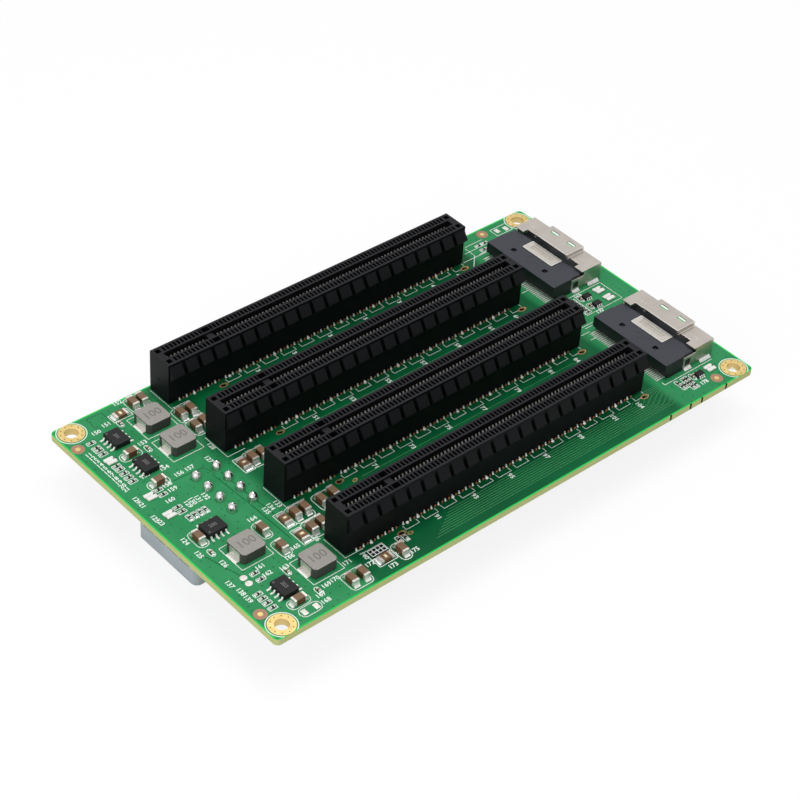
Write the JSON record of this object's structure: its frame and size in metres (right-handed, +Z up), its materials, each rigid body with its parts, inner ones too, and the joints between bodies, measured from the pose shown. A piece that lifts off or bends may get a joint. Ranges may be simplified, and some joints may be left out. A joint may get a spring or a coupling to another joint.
{
  "type": "slimsas to pcie adapter",
  "caption": "Flat adapter board carrying parallel card-edge slots fed by low metal-shelled cable ports at one end, with a power header under the other end.",
  "frame": {"origin": "centre of the four corner mounting holes, on the underside of the circuit board", "axes": "+X along the card slots, from the power end to the cable port end; +Y across the slots, towards the slot nearest the board's edge; +Z up from the board's component side"},
  "size_m": [0.1422, 0.0792, 0.0237],
  "materials": {
    "board_mask": "satin solder mask over glass laminate",
    "gold_plating": "bright",
    "slot_plastic": "fine matt moulding",
    "header_plastic": "natural nylon",
    "tinned_metal": "tinned",
    "solder": "bright solder",
    "connector_plastic": "satin moulding",
    "shell_metal": "plated sheet",
    "inductor_moulding": "pressed powder",
    "package_moulding": "epoxy moulding",
    "capacitor_ceramic": "ceramic",
    "fuse_ceramic": "ceramic",
    "resistor_glaze": "glaze",
    "led_lens": "diffuse"
  },
  "bodies": {
    "root": {"bulk_capacitor_bodies": "capacitor_ceramic", "bulk_capacitor_ends": "tinned_metal", "chip_capacitor_bodies": "capacitor_ceramic", "chip_resistor_bodies": "resistor_glaze", "fuse_bodies": "fuse_ceramic", "fuse_ends": "tinned_metal", "inductor_bodies": "inductor_moulding", "inductor_terminals": "tinned_metal", "mounting_hole_plating": "gold_plating", "pcb": "board_mask", "pcie_slot_1": "slot_plastic", "pcie_slot_2": "slot_plastic", "pcie_slot_3": "slot_plastic", "pcie_slot_4": "slot_plastic", "power_header_housing": "header_plastic", "power_header_pins": "tinned_metal", "power_header_solder": "solder", "regulator_bodies": "package_moulding", "regulator_leads": "tinned_metal", "resistor_array": "resistor_glaze", "slimsas_1_body": "connector_plastic", "slimsas_1_latch_plate": "shell_metal", "slimsas_1_shell": "shell_metal", "slimsas_1_tails": "tinned_metal", "slimsas_2_body": "connector_plastic", "slimsas_2_latch_plate": "shell_metal", "slimsas_2_shell": "shell_metal", "slimsas_2_tails": "tinned_metal", "small_ic_bodies": "package_moulding", "status_leds": "led_lens"}
  },
  "joints": []
}
